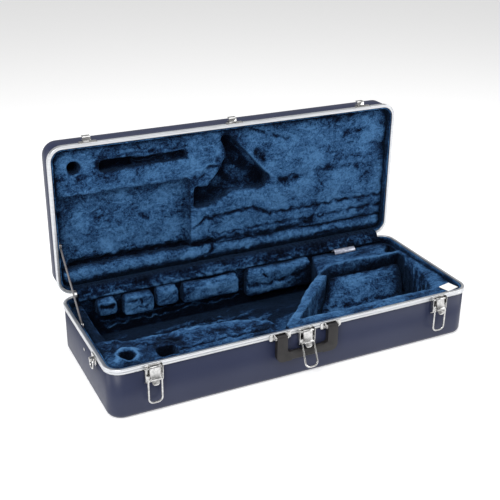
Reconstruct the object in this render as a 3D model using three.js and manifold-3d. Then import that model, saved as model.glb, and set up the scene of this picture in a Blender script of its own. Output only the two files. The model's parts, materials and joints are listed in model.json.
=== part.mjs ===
// A moulded hard case for a mid-sized brass or reed instrument, standing open.
// Millimetres, +Z up, +X to the right along the length, -Y towards whoever opens it.
// The origin is the centre of the flat bottom. The lid is modelled closed and its
// group is then turned back about the hinge axis.
import * as THREE from "three";
import { mergeVertices } from "three/addons/utils/BufferGeometryUtils.js";
import Module from "manifold-3d";

const wasm = await Module();
wasm.setup();

// ---- driving dimensions ------------------------------------------------------------
const LENGTH = 790; // over the metal rims
const WIDTH = 314;
const BASE_H = 106; // bottom to the top of the base rim
const LID_H = 60;
const CORNER = 31; // plan radius of the rims
const GAP = 0.3; // air between neighbouring pieces
const OPEN_DEG = 90; // how far the lid stands back

const RIM_H = 10; // height of each rim extrusion
const RIM_W = 6.5; // thickness of it, seen from above
const RIM_TOP = 3; // solid metal over the slot that takes the shell's edge
const RIM_OUTER = 1.7; // outer leg of the slot
const RIM_INNER = 1.2; // inner leg of the slot
const SHELL_T = 3;
const SHELL_IN = RIM_OUTER + GAP; // the shell's face stands this far inside the rim's
const EDGE_R = 11; // rounding where the walls meet the bottom
const ARC_STEPS = 6; // straight steps in each quarter turn of a plan corner

const LINING_T = 3.2; // plush on board, on the walls
const FLOOR_T = 4;
const LINING_OUT = RIM_W + GAP; // outer face of the wall lining, in from the rim's face
const IN_X = LENGTH / 2 - LINING_OUT - LINING_T; // half length between the linings
const IN_Y = WIDTH / 2 - LINING_OUT - LINING_T;
const PAD_X = IN_X - GAP; // pads stop this far out
const PAD_Y = IN_Y - GAP;
const FLOOR = SHELL_T + GAP + FLOOR_T; // top of the floor lining
const PAD_Z = FLOOR + GAP; // underside of the base pads

const HINGE_Y = WIDTH / 2 + 2.5;
const HINGE_Z = BASE_H - 1.5;
const HINGE_X = [-260, 0, 260];
const LATCH_X = { left: -312, center: 0, right: 312 };
const SIDE_NAMES = ["left", "center", "right"];

const LID_Z = BASE_H + GAP; // underside of the lid rim when shut
const LID_TOP = LID_Z + LID_H;
const LID_BACK = LID_TOP - SHELL_T - GAP - FLOOR_T; // inner face of the lid's lining
const LID_PAD_BACK = LID_BACK - GAP;

// ---- materials ------------------------------------------------------------------------
const look = (color, roughness, metalness) => () =>
  new THREE.MeshStandardMaterial({ color, roughness, metalness });
const SHELL = look(0x3f455e, 0.45, 0);
const RIM = look(0xd4d8de, 0.35, 0.9);
const CHROME = look(0xdfe1e4, 0.15, 1);
const HANDLE = look(0x2b2a2c, 0.4, 0);
const PLUSH = look(0x1d4478, 0.95, 0);
const WEBBING = look(0x6f6a70, 0.85, 0);
const CARD = look(0xf4f4f2, 0.6, 0);
const FOIL = look(0xb9bcc4, 0.3, 0.2);

// ---- solids ---------------------------------------------------------------------------
function solid(geometry) {
  const bare = geometry.index ? geometry.toNonIndexed() : geometry.clone();
  bare.deleteAttribute("normal");
  bare.deleteAttribute("uv");
  const merged = mergeVertices(bare, 1e-4);
  return new wasm.Manifold(
    new wasm.Mesh({
      numProp: 3,
      vertProperties: merged.attributes.position.array,
      triVerts: new Uint32Array(merged.index.array),
    }),
  );
}

function geometryOf(manifold) {
  const mesh = manifold.getMesh();
  const geometry = new THREE.BufferGeometry();
  const places = new THREE.BufferAttribute(new Float32Array(mesh.vertProperties), 3);
  geometry.setAttribute("position", places);
  geometry.setIndex(new THREE.BufferAttribute(new Uint32Array(mesh.triVerts), 1));
  geometry.computeVertexNormals();
  return geometry;
}

const join = (...geometries) => geometryOf(geometries.map(solid).reduce((a, b) => a.add(b)));

const cut = (geometry, ...tools) =>
  geometryOf(tools.map(solid).reduce((a, b) => a.subtract(b), solid(geometry)));

// Rings of points with the same count, joined one to the next. A closed loft runs
// back to its first ring; an open one is capped at both ends by flat convex faces.
function loft(rings, closed = false) {
  const count = rings[0].length;
  const places = rings.flat(2);
  const faces = [];
  const bands = closed ? rings.length : rings.length - 1;
  for (let r = 0; r < bands; r++) {
    const low = r * count;
    const high = ((r + 1) % rings.length) * count;
    for (let i = 0; i < count; i++) {
      const j = (i + 1) % count;
      faces.push(low + i, low + j, high + j, low + i, high + j, high + i);
    }
  }
  if (!closed) {
    const last = (rings.length - 1) * count;
    for (let i = 1; i < count - 1; i++) {
      faces.push(0, i + 1, i);
      faces.push(last, last + i, last + i + 1);
    }
  }
  const geometry = new THREE.BufferGeometry();
  geometry.setAttribute("position", new THREE.Float32BufferAttribute(places, 3));
  geometry.setIndex(faces);
  geometry.computeVertexNormals();
  return geometry;
}

// The case's plan outline, drawn in from the rim's face by an inset.
function planRing(inset, z) {
  const radius = Math.max(CORNER - inset, 1);
  const halfX = LENGTH / 2 - inset - radius;
  const halfY = WIDTH / 2 - inset - radius;
  const ring = [];
  const corners = [[1, 1], [-1, 1], [-1, -1], [1, -1]];
  corners.forEach(([sx, sy], quarter) => {
    for (let i = 0; i <= ARC_STEPS; i++) {
      const turn = ((quarter + i / ARC_STEPS) * Math.PI) / 2;
      const x = sx * halfX + radius * Math.cos(turn);
      const y = sy * halfY + radius * Math.sin(turn);
      ring.push([x, y, z]);
    }
  });
  return ring;
}

function shapeOf(points) {
  return new THREE.Shape(points.map(([x, y]) => new THREE.Vector2(x, y)));
}

function prismZ(outline, z0, z1, curveSegments = 4) {
  const shape = outline instanceof THREE.Shape ? outline : shapeOf(outline);
  const geometry = new THREE.ExtrudeGeometry(shape, {
    depth: z1 - z0,
    bevelEnabled: false,
    curveSegments,
  });
  return geometry.translate(0, 0, z0);
}

const ALONG_X = new THREE.Matrix4().makeBasis(
  new THREE.Vector3(0, 1, 0),
  new THREE.Vector3(0, 0, 1),
  new THREE.Vector3(1, 0, 0),
);
const ALONG_Y = new THREE.Matrix4().makeBasis(
  new THREE.Vector3(1, 0, 0),
  new THREE.Vector3(0, 0, 1),
  new THREE.Vector3(0, -1, 0),
);

// An outline in (y, z), running from x0 to x1.
function prismX(outline, x0, x1) {
  return prismZ(outline, 0, x1 - x0).applyMatrix4(ALONG_X).translate(x0, 0, 0);
}

// An outline in (x, z), running from y0 to y1.
function prismY(outline, y0, y1, curveSegments) {
  return prismZ(outline, 0, y1 - y0, curveSegments).applyMatrix4(ALONG_Y).translate(0, y1, 0);
}

function box(x0, x1, y0, y1, z0, z1) {
  const geometry = new THREE.BoxGeometry(x1 - x0, y1 - y0, z1 - z0);
  return geometry.translate((x0 + x1) / 2, (y0 + y1) / 2, (z0 + z1) / 2);
}

function rodX(radius, x0, x1, y, z, sides = 12) {
  const geometry = new THREE.CylinderGeometry(radius, radius, x1 - x0, sides);
  return geometry.rotateZ(Math.PI / 2).translate((x0 + x1) / 2, y, z);
}

function rodZ(radius, x, y, z0, z1, sides = 16) {
  const geometry = new THREE.CylinderGeometry(radius, radius, z1 - z0, sides);
  return geometry.rotateX(Math.PI / 2).translate(x, y, (z0 + z1) / 2);
}

function roundedOutline(x0, x1, y0, y1, radius) {
  const shape = new THREE.Shape();
  shape.moveTo(x0 + radius, y0);
  shape.lineTo(x1 - radius, y0);
  shape.absarc(x1 - radius, y0 + radius, radius, -Math.PI / 2, 0);
  shape.lineTo(x1, y1 - radius);
  shape.absarc(x1 - radius, y1 - radius, radius, 0, Math.PI / 2);
  shape.lineTo(x0 + radius, y1);
  shape.absarc(x0 + radius, y1 - radius, radius, Math.PI / 2, Math.PI);
  shape.lineTo(x0, y0 + radius);
  shape.absarc(x0 + radius, y0 + radius, radius, Math.PI, 1.5 * Math.PI);
  return shape;
}

// A closed link of round wire lying in the (x, z) plane: a rounded rectangle of the
// given centre-line size, hung from the middle of its top bar at the origin. Its top
// corners turn tighter than its lower ones.
function wireLink(halfWidth, drop, topBend, lowBend, wireR) {
  const sides = 8;
  const bendSteps = 4;
  const centres = [[1, 0], [-1, 0], [-1, -1], [1, -1]].map(([sx, down]) => {
    const bend = down ? lowBend : topBend;
    return [sx * (halfWidth - bend), down ? bend - drop : -bend, bend];
  });
  const rings = [];
  centres.forEach(([cx, cz, bend], quarter) => {
    for (let i = 0; i <= bendSteps; i++) {
      const turn = ((quarter + i / bendSteps) * Math.PI) / 2;
      const out = [Math.cos(turn), Math.sin(turn)];
      const ring = [];
      for (let k = 0; k < sides; k++) {
        const around = (k / sides) * 2 * Math.PI;
        const reach = bend + wireR * Math.cos(around);
        ring.push([cx + out[0] * reach, wireR * Math.sin(around), cz + out[1] * reach]);
      }
      rings.push(ring);
    }
  });
  return loft(rings, true);
}

// ---- scene graph ----------------------------------------------------------------------
const hardCase = new THREE.Group();
const base = new THREE.Group();
const lidHinge = new THREE.Group();
const lid = new THREE.Group();
hardCase.add(base, lidHinge);
lidHinge.position.set(0, HINGE_Y, HINGE_Z);
lidHinge.rotation.x = THREE.MathUtils.degToRad(-OPEN_DEG);
lid.position.set(0, -HINGE_Y, -HINGE_Z);
lidHinge.add(lid);

function place(group, name, geometry, material) {
  const mesh = new THREE.Mesh(geometry, material());
  mesh.name = name;
  group.add(mesh);
  return mesh;
}

// ---- moulded shells and their rims -------------------------------------------------------
// A tray standing on z = 0 with its mouth up at z = height.
function shellTray(height) {
  const rings = [];
  const outerSteps = 4;
  const innerSteps = 3;
  for (let i = 0; i <= outerSteps; i++) {
    const turn = ((i / outerSteps) * Math.PI) / 2;
    const inset = SHELL_IN + EDGE_R * (1 - Math.sin(turn));
    rings.push(planRing(inset, EDGE_R * (1 - Math.cos(turn))));
  }
  rings.push(planRing(SHELL_IN, height));
  rings.push(planRing(SHELL_IN + SHELL_T, height));
  const innerR = EDGE_R - SHELL_T;
  for (let i = 0; i <= innerSteps; i++) {
    const turn = ((1 - i / innerSteps) * Math.PI) / 2;
    const inset = SHELL_IN + SHELL_T + innerR * (1 - Math.sin(turn));
    rings.push(planRing(inset, SHELL_T + innerR * (1 - Math.cos(turn))));
  }
  return loft(rings);
}

// An aluminium extrusion bent round the mouth: eased edges, a shallow line along its
// face, and a slot underneath for the shell. Its top face is at z = 0.
function rim() {
  const ease = 1.6;
  const lineZ = -5.2;
  const lineH = 0.9;
  const lineD = 0.5;
  const slotIn = RIM_W - RIM_INNER;
  const profile = [
    [0, -RIM_H],
    [0, lineZ - lineH / 2],
    [lineD, lineZ],
    [0, lineZ + lineH / 2],
    [0, -ease],
    [ease * 0.29, -ease * 0.29],
    [ease, 0],
    [RIM_W - ease / 2, 0],
    [RIM_W, -ease / 2],
    [RIM_W, -RIM_H],
    [slotIn, -RIM_H],
    [slotIn, -RIM_TOP],
    [RIM_OUTER, -RIM_TOP],
    [RIM_OUTER, -RIM_H],
  ];
  return loft(profile.map(([inset, z]) => planRing(inset, z)), true);
}

const SHELL_H = BASE_H - RIM_TOP - GAP;
place(base, "base_shell", shellTray(SHELL_H), SHELL);
place(base, "base_rim", rim().translate(0, 0, BASE_H), RIM);

const LID_SHELL_H = LID_H - RIM_TOP - GAP;
place(lid, "lid_shell", shellTray(LID_SHELL_H).rotateX(Math.PI).translate(0, 0, LID_TOP), SHELL);
place(lid, "lid_rim", rim().rotateX(Math.PI).translate(0, 0, LID_Z), RIM);

// ---- lining trays --------------------------------------------------------------------------
// Plush on board: it covers the walls and the bottom of each half.
function liningTray(height) {
  const edge = 3;
  const clear = EDGE_R + 1;
  return loft([
    planRing(clear, 0),
    planRing(LINING_OUT, clear - LINING_OUT + edge),
    planRing(LINING_OUT, height),
    planRing(LINING_OUT + LINING_T, height),
    planRing(LINING_OUT + LINING_T, FLOOR_T + edge),
    planRing(LINING_OUT + LINING_T + edge, FLOOR_T),
  ]);
}

const LINING_TOP = BASE_H - 1.5;
place(
  base,
  "base_lining",
  liningTray(LINING_TOP - SHELL_T - GAP).translate(0, 0, SHELL_T + GAP),
  PLUSH,
);
const lidLiningH = LID_H - 1.5 - SHELL_T - GAP;
place(
  lid,
  "lid_lining",
  liningTray(lidLiningH).rotateX(Math.PI).translate(0, 0, LID_TOP - SHELL_T - GAP),
  PLUSH,
);

// ---- padded blocks in the base ------------------------------------------------------------
const LEDGE_Z = 98; // top of the ledges beside the rim
const LEDGE_Y = -108; // their inner edge along the front
const SHELF_Z = 92; // top of the shelf at the back right
const FOOT = 4; // pads stand in from the rounded foot of the walls

// Trims a plan outline to the round corners of the space between the linings.
function insidePlan(outline, z0, z1) {
  const fence = loft([
    planRing(LINING_OUT + LINING_T + GAP + FOOT, z0 - 0.5),
    planRing(LINING_OUT + LINING_T + GAP, z0 + FOOT),
    planRing(LINING_OUT + LINING_T + GAP, z1 + 1),
  ]);
  return geometryOf(solid(prismZ(outline, z0, z1)).intersect(solid(fence)));
}

function accessoryBlock() {
  const right = -38;
  const top = 96;
  const outline = new THREE.Shape();
  outline.moveTo(-PAD_X, -PAD_Y);
  outline.lineTo(right, -PAD_Y);
  outline.lineTo(right, -112);
  outline.splineThru(
    [[-42, -95], [-60, -76], [-100, -59], [-170, -50], [-240, -47], [-320, -44], [-352, -31]].map(
      ([x, y]) => new THREE.Vector2(x, y),
    ),
  );
  outline.lineTo(-PAD_X, -31);
  const holeDepth = 62;
  const block = insidePlan(outline, PAD_Z, top);
  const roundHole = rodZ(15, -340, -98, top - holeDepth, top + 1);
  const squareHole = box(-284, -249, -126, -96, top - holeDepth, top + 1);
  return cut(block, roundHole, squareHole);
}
place(base, "accessory_block", accessoryBlock(), PLUSH);

const LEFT_PAD_X = -352;
place(
  base,
  "left_end_pad",
  insidePlan([[-PAD_X, -30.5], [LEFT_PAD_X, -30.5], [LEFT_PAD_X, PAD_Y], [-PAD_X, PAD_Y]], PAD_Z, 87.5),
  PLUSH,
);

// Five pads stand out from the back wall, each wrapped on its own.
const BACK_PAD_Y = 125;
const BACK_PADS = [
  [-327, -285, 61, 95],
  [-270, -204, 50, 94],
  [-199, -149, 56, 96],
  [-140, -7, 50, 93],
  [12, 174, 31, 96],
];
BACK_PADS.forEach(([x0, x1, z0, z1], i) => {
  const drop = 5;
  const outline = roundedOutline(x0, x1, z0, z1 - drop, 7);
  const face = prismY(outline, BACK_PAD_Y, PAD_Y);
  const cap = prismX(
    [[BACK_PAD_Y + 4, z1 - 2 * drop], [PAD_Y, z1 - 2 * drop], [PAD_Y, z1], [BACK_PAD_Y + 10, z1]],
    x0 + 3,
    x1 - 3,
  );
  place(base, `back_pad_${i + 1}`, join(face, cap), PLUSH);
});

// A ledge along the front from the accessory block to the right end.
place(
  base,
  "front_ledge",
  insidePlan(
    [[14, -PAD_Y], [PAD_X, -PAD_Y], [PAD_X, LEDGE_Y], [14, LEDGE_Y]],
    PAD_Z,
    LEDGE_Z,
  ),
  PLUSH,
);

// The shelf at the back right, with a three-cornered hole near the end wall.
function bellShelf() {
  const block = insidePlan(
    [[152, 57], [196, 82], [257, 88], [319, 80], [PAD_X, 80], [PAD_X, PAD_Y], [184, PAD_Y]],
    PAD_Z,
    SHELF_Z,
  );
  const hole = prismZ([[349, 95], [380, 88], [380, 126]], SHELF_Z - 60, SHELF_Z + 1);
  return cut(block, hole);
}
place(base, "bell_shelf", bellShelf(), PLUSH);

// A thin wall that runs slantwise from the front ledge to the shelf.
place(
  base,
  "bell_divider",
  insidePlan(
    [[-20, -116], [31, -63], [79, -12], [116, 26], [150, 56], [164, 44], [132, 13], [96, -24],
      [46, -75], [13.7, -107], [13.7, -PAD_Y], [-20, -PAD_Y]],
    PAD_Z,
    93,
  ),
  PLUSH,
);

// A sloping cushion fills the back of the bell pocket, beside the divider, and leaves a
// slot at its right.
function bellCushion() {
  const back = { y: 70, z: 78 };
  const foot = { y: -10, z: 9 };
  const profile = [[foot.y, PAD_Z], [back.y, PAD_Z], [back.y, back.z], [foot.y, foot.z]];
  const slab = prismX(profile, 100, PAD_X);
  const plan = prismZ(
    [[112, -11], [340, -11], [372, 55], [372, 71], [187, 71], [166.5, 44.5], [133.5, 12.5]],
    0,
    100,
  );
  return geometryOf(solid(slab).intersect(solid(plan)));
}
place(base, "bell_cushion", bellCushion(), PLUSH);

// A wedge of padding against the right end wall.
place(
  base,
  "right_end_pad",
  insidePlan(
    [[375, 50], [357, -33], [340, -85], [333, LEDGE_Y + GAP], [PAD_X, LEDGE_Y + GAP], [PAD_X, 79], [375, 79]],
    PAD_Z,
    96,
  ),
  PLUSH,
);

// A blank card lies on the front right corner, turned a little.
function cardLabel() {
  const card = box(-15.5, 15.5, -13, 13, 0, 0.6);
  return card.rotateZ(THREE.MathUtils.degToRad(14));
}
const card = place(base, "label_card", cardLabel(), CARD);
card.position.set(364, -124, LEDGE_Z + GAP);

// A strip of curled film lies on the shelf against the back wall.
function curledTag() {
  const outerR = 8.2;
  const thick = 0.8;
  const halfSweep = THREE.MathUtils.degToRad(88);
  const shape = new THREE.Shape();
  shape.absarc(0, 0, outerR, Math.PI / 2 - halfSweep, Math.PI / 2 + halfSweep);
  shape.absarc(0, 0, outerR - thick, Math.PI / 2 + halfSweep, Math.PI / 2 - halfSweep, true);
  return prismX(shape, -27, 27);
}
const tag = place(base, "film_tag", curledTag(), FOIL);
tag.position.set(264, 136, SHELF_Z + GAP);

// ---- padded panels in the lid, drawn with the lid shut -----------------------------------------
const PANEL_Z = LID_Z + 13; // face of the raised panels
const RECESS_Z = LID_Z + 29; // face of the sunk panel
const ROLL_Y = 112; // edge of the roll along the hinge side

function insideLid(outline, z0) {
  const fence = loft([
    planRing(LINING_OUT + LINING_T + GAP, z0 - 1),
    planRing(LINING_OUT + LINING_T + GAP, LID_PAD_BACK - FOOT),
    planRing(LINING_OUT + LINING_T + GAP + FOOT, LID_PAD_BACK + 0.5),
  ]);
  return geometryOf(solid(prismZ(outline, z0, LID_PAD_BACK)).intersect(solid(fence)));
}

place(
  lid,
  "lid_hinge_roll",
  insideLid([[-PAD_X, ROLL_Y], [PAD_X, ROLL_Y], [PAD_X, PAD_Y], [-PAD_X, PAD_Y]], PANEL_Z - 2),
  PLUSH,
);

const SLOT_EDGE_Y = -48; // edge of the slot panel, and start of the sunk panel
const CENTER_X = -98; // where the middle panel starts

// The panel over the accessory block has a round hole and a long slot in two depths.
function lidSlotPanel() {
  const endX = -PAD_X + 0.6; // a looser fit at the end wall
  const panel = insideLid(
    [[endX, -PAD_Y], [CENTER_X, -PAD_Y], [CENTER_X, SLOT_EDGE_Y], [endX, SLOT_EDGE_Y]],
    PANEL_Z,
  );
  const above = PANEL_Z - 1;
  const hole = rodZ(14, -342, -106, above, PANEL_Z + 32);
  const deepSlot = box(-290, -215, -113, -88, above, PANEL_Z + 26);
  const shallowSlot = box(-220, -104, -111, -92, above, PANEL_Z + 14);
  return cut(panel, hole, deepSlot, shallowSlot);
}
place(lid, "lid_slot_panel", lidSlotPanel(), PLUSH);

// The sunk panel has a raised border along the end wall, low enough to clear the strap.
function lidSunkPanel() {
  const y0 = SLOT_EDGE_Y + GAP;
  const y1 = ROLL_Y - GAP;
  const borderX = -368;
  const borderZ = PANEL_Z + 9;
  const floor = [[-PAD_X, y0], [CENTER_X, y0], [CENTER_X, y1], [-PAD_X, y1]];
  const border = [[-PAD_X, y0], [borderX, y0], [borderX, y1], [-PAD_X, y1]];
  return join(insideLid(floor, RECESS_Z), insideLid(border, borderZ));
}
place(lid, "lid_sunk_panel", lidSunkPanel(), PLUSH);

// The middle panel has a forked recess for the keys and stays beside the bell.
function lidCenterPanel() {
  const panel = insideLid(
    [[-97.7, -PAD_Y], [94.7, -PAD_Y], [94.7, ROLL_Y - GAP], [-97.7, ROLL_Y - GAP]],
    PANEL_Z,
  );
  const fork = prismZ(
    [[-28, -131], [-6, -131], [86, -27], [82, -6], [55, 0], [0, -4], [-50, 22], [-90, 20],
      [-90, -26], [-60, -24], [-34, -52], [-14, -88]],
    PANEL_Z - 1,
    PANEL_Z + 30,
  );
  return cut(panel, fork);
}
place(lid, "lid_center_panel", lidCenterPanel(), PLUSH);

place(
  lid,
  "lid_bell_panel",
  insideLid([[95, -PAD_Y], [PAD_X, -PAD_Y], [PAD_X, ROLL_Y - GAP], [95, ROLL_Y - GAP]], PANEL_Z),
  PLUSH,
);

// ---- hinges -------------------------------------------------------------------------------------
const LEAF_HALF = 25;
const LEAF_T = 1.2;
const KNUCKLE_R = 2.2;
const KNUCKLES = 5;
const LEAF_H = 12;

// One leaf, with its knuckles on the hinge axis. side is -1 for the leaf below the axis
// and +1 for the one above; knuckles alternate, starting with first.
function hingeLeaf(side, first) {
  const y0 = WIDTH / 2 + GAP;
  const y1 = y0 + LEAF_T;
  const near = HINGE_Z + side * (KNUCKLE_R + 0.5);
  const far = near + side * LEAF_H;
  const pieces = [box(-LEAF_HALF, LEAF_HALF, y0, y1, Math.min(near, far), Math.max(near, far))];
  const step = (2 * LEAF_HALF) / KNUCKLES;
  for (let k = first; k < KNUCKLES; k += 2) {
    const x0 = -LEAF_HALF + k * step + (k > 0 ? GAP / 2 : 0);
    const x1 = -LEAF_HALF + (k + 1) * step - (k < KNUCKLES - 1 ? GAP / 2 : 0);
    pieces.push(rodX(KNUCKLE_R, x0, x1, HINGE_Y, HINGE_Z, 10));
    const inner = near + side * 0.2;
    pieces.push(box(x0, x1, y0, y1, Math.min(HINGE_Z, inner), Math.max(HINGE_Z, inner)));
  }
  const bore = rodX(1.3, -LEAF_HALF - 1, LEAF_HALF + 1, HINGE_Y, HINGE_Z, 10);
  return cut(join(...pieces), bore);
}

SIDE_NAMES.forEach((side, i) => {
  const x = HINGE_X[i];
  place(base, `hinge_${side}_base_leaf`, hingeLeaf(-1, 0), CHROME).position.x = x;
  place(lid, `hinge_${side}_lid_leaf`, hingeLeaf(1, 1), CHROME).position.x = x;
  const pin = rodX(0.95, -LEAF_HALF - 0.4, LEAF_HALF + 0.4, HINGE_Y, HINGE_Z, 8);
  place(base, `hinge_${side}_pin`, pin, CHROME).position.x = x;
});

// The plush strip that hides the hinge line from inside. It runs from the base's back
// wall over both rims and into the lid, and folds as the lid shuts.
function hingeCover() {
  const t = 1.3;
  const wallY = IN_Y - GAP;
  const low = SHELF_Z + GAP + 5;
  const riseY = HINGE_Y + LID_Z - HINGE_Z - GAP;
  const lidZ = HINGE_Z + HINGE_Y - IN_Y + GAP;
  const tuckY = riseY + 9;
  const profile = [
    [wallY - t, low],
    [wallY, low],
    [wallY, BASE_H + 0.5],
    [wallY + 3.2, BASE_H + GAP + 1],
    [riseY - 3, BASE_H + 2.5],
    [riseY - 0.4, lidZ - 3],
    [riseY + 0.2, lidZ + GAP],
    [tuckY, lidZ + GAP],
    [tuckY, lidZ + GAP + t],
    [riseY - 0.8, lidZ + GAP + t],
    [riseY - 2.2, lidZ - 2.6],
    [wallY + 2.4, BASE_H + 3.6],
    [wallY - t, BASE_H + 1.6],
  ];
  const half = LENGTH / 2 - CORNER - 3;
  return prismX(profile, -half, half);
}
place(base, "hinge_cover", hingeCover(), PLUSH);

// ---- stay strap -------------------------------------------------------------------------------
const STRAP_X = -IN_X + 3; // centre plane of the webbing
const STRAP_T = 1.2;
const STRAP_W = 12;
const BASE_ANCHOR = { y: 44, z: 97 };
const LID_ANCHOR = { y: 52, z: 116 };
const RIVET_R = 2;

// A rivet through the webbing, with a washer behind it and a domed head in front.
function strapAnchor({ y, z }) {
  const back = STRAP_X - STRAP_T / 2 - GAP;
  const front = STRAP_X + STRAP_T / 2 + GAP;
  return join(
    rodX(5.6, -IN_X + GAP, back, y, z, 14),
    rodX(RIVET_R, back - 0.5, front + 0.5, y, z, 12),
    rodX(4.6, front, front + 1.2, y, z, 14),
  );
}
place(base, "strap_anchor_base", strapAnchor(BASE_ANCHOR), CHROME);
place(lid, "strap_anchor_lid", strapAnchor(LID_ANCHOR), CHROME);

function stayStrap() {
  const from = BASE_ANCHOR;
  const to = {
    y: HINGE_Y + (LID_ANCHOR.z - HINGE_Z),
    z: HINGE_Z - (LID_ANCHOR.y - HINGE_Y),
  };
  const run = Math.hypot(to.y - from.y, to.z - from.z);
  const lean = Math.atan2(to.z - from.z, to.y - from.y);
  const tail = 7;
  const web = prismX(
    roundedOutline(-tail, run + tail, -STRAP_W / 2, STRAP_W / 2, 2),
    -STRAP_T / 2,
    STRAP_T / 2,
  );
  const holes = [0, run].map((y) => rodX(RIVET_R + 0.4, -2, 2, y, 0, 12));
  const strap = cut(web, ...holes);
  return strap.rotateX(lean).translate(STRAP_X, from.y, from.z);
}
place(base, "stay_strap", stayStrap(), WEBBING);

// ---- latches ------------------------------------------------------------------------------------
const FRONT = -WIDTH / 2; // face of the rims
const PLATE_T = 1.2;
const PLATE_Y = FRONT - GAP; // back of everything riveted to the front
const LEVER_PIVOT = { y: FRONT - 6, z: 99.5 };
const BAIL_PIVOT = { y: FRONT - 10.5, z: 79 };
const BAIL_WIRE = 2;
const BAIL_HALF = 13; // half width of the bail's centre line
const BAIL_DROP = 49; // pivot to the far bar
const BAIL_SHUT_DEG = 173.5; // swing from hanging to hooked
const BAIL_LEAN_DEG = { left: 0, center: 25, right: 0 };

// A plate with two turned-out cheeks that carry the lever's trunnions.
function latchPlate() {
  const half = 17;
  const z0 = 68;
  const z1 = 105.5;
  const cheekOut = 7.6;
  const sheet = prismY(roundedOutline(-half, half, z0, z1, 3), PLATE_Y - PLATE_T, PLATE_Y);
  const back = PLATE_Y - PLATE_T / 2;
  const tip = PLATE_Y - PLATE_T - cheekOut;
  const cheek = [[back, 71], [tip + 5, 71], [tip + 1.5, 73], [tip, 77], [tip, 101], [tip + 2, 104], [back, 104]];
  const bore = rodX(1.9, -half - 1, half + 1, LEVER_PIVOT.y, LEVER_PIVOT.z, 12);
  const left = prismX(cheek, -half, -half + PLATE_T);
  const right = prismX(cheek, half - PLATE_T, half);
  return cut(join(sheet, left, right), bore);
}

// The lever turns on trunnions at the top of the plate. Its lower barrel carries the
// bail, and a rounded thumb tab stands out below the barrel.
function latchLever() {
  const half = 9;
  const { y, z } = LEVER_PIVOT;
  const low = BAIL_PIVOT;
  const sheet = 1.5;
  const top = rodX(3.2, -half, half, y, z, 14);
  const trunnions = rodX(1.5, -18.2, 18.2, y, z, 10);
  const barrel = rodX(4.1, -half, half, low.y, low.z, 14);
  const face = [[y - 2.4, z + 2], [y - 0.6, z + 1], [low.y + 2.2, low.z], [low.y - 3.4, low.z]];
  const web = prismX(face, -half, half);
  const rise = THREE.MathUtils.degToRad(24);
  const tabLength = 7.6;
  const tab = prismY(roundedOutline(-7.5, 7.5, -tabLength - 2, 3, 6), -sheet / 2, sheet / 2);
  tab.rotateX(-rise).translate(0, low.y - 3, low.z - 1);
  const bore = rodX(BAIL_WIRE + 0.45, -half - 1, half + 1, low.y, low.z, 12);
  return cut(join(top, trunnions, barrel, web, tab), bore);
}

// A J-shaped catch on the lid: the bail's far bar drops behind its lip.
function latchStrike() {
  const half = 18;
  const hookHalf = 8;
  const lipOut = 9.2;
  const plate = prismY(roundedOutline(-half, half, 107.5, 119, 2), PLATE_Y - PLATE_T, PLATE_Y);
  const out = PLATE_Y - PLATE_T;
  const hook = [
    [PLATE_Y, 112],
    [PLATE_Y, 132],
    [out, 132],
    [out, 124],
    [FRONT - lipOut + 1.2, 124],
    [FRONT - lipOut + 1.2, 131],
    [FRONT - lipOut - 0.3, 131],
    [FRONT - lipOut - 0.3, 123],
    [FRONT - lipOut + 1.2, 121],
    [out, 120],
    [out, 112],
  ];
  return join(plate, prismX(hook, -hookHalf, hookHalf));
}

SIDE_NAMES.forEach((side) => {
  const x = LATCH_X[side];
  place(base, `latch_${side}_plate`, latchPlate(), CHROME).position.x = x;
  place(base, `latch_${side}_lever`, latchLever(), CHROME).position.x = x;
  const bail = place(base, `latch_${side}_bail`, wireLink(BAIL_HALF, BAIL_DROP, 3.6, 9, BAIL_WIRE), CHROME);
  bail.position.set(x, BAIL_PIVOT.y, BAIL_PIVOT.z);
  bail.rotation.x = THREE.MathUtils.degToRad(-BAIL_LEAN_DEG[side]);
  place(lid, `latch_${side}_strike`, latchStrike(), CHROME).position.x = x;
});

// ---- handle ---------------------------------------------------------------------------------------
const GRIP_T = 10;
const HANDLE_PIVOT = { y: FRONT - 7.3, z: 99 };
const ARM_OUT = 66.5;
const ARM_IN = 44.5;
const GRIP_LOW = 47;
const GRIP_TOP = 66;

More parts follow.
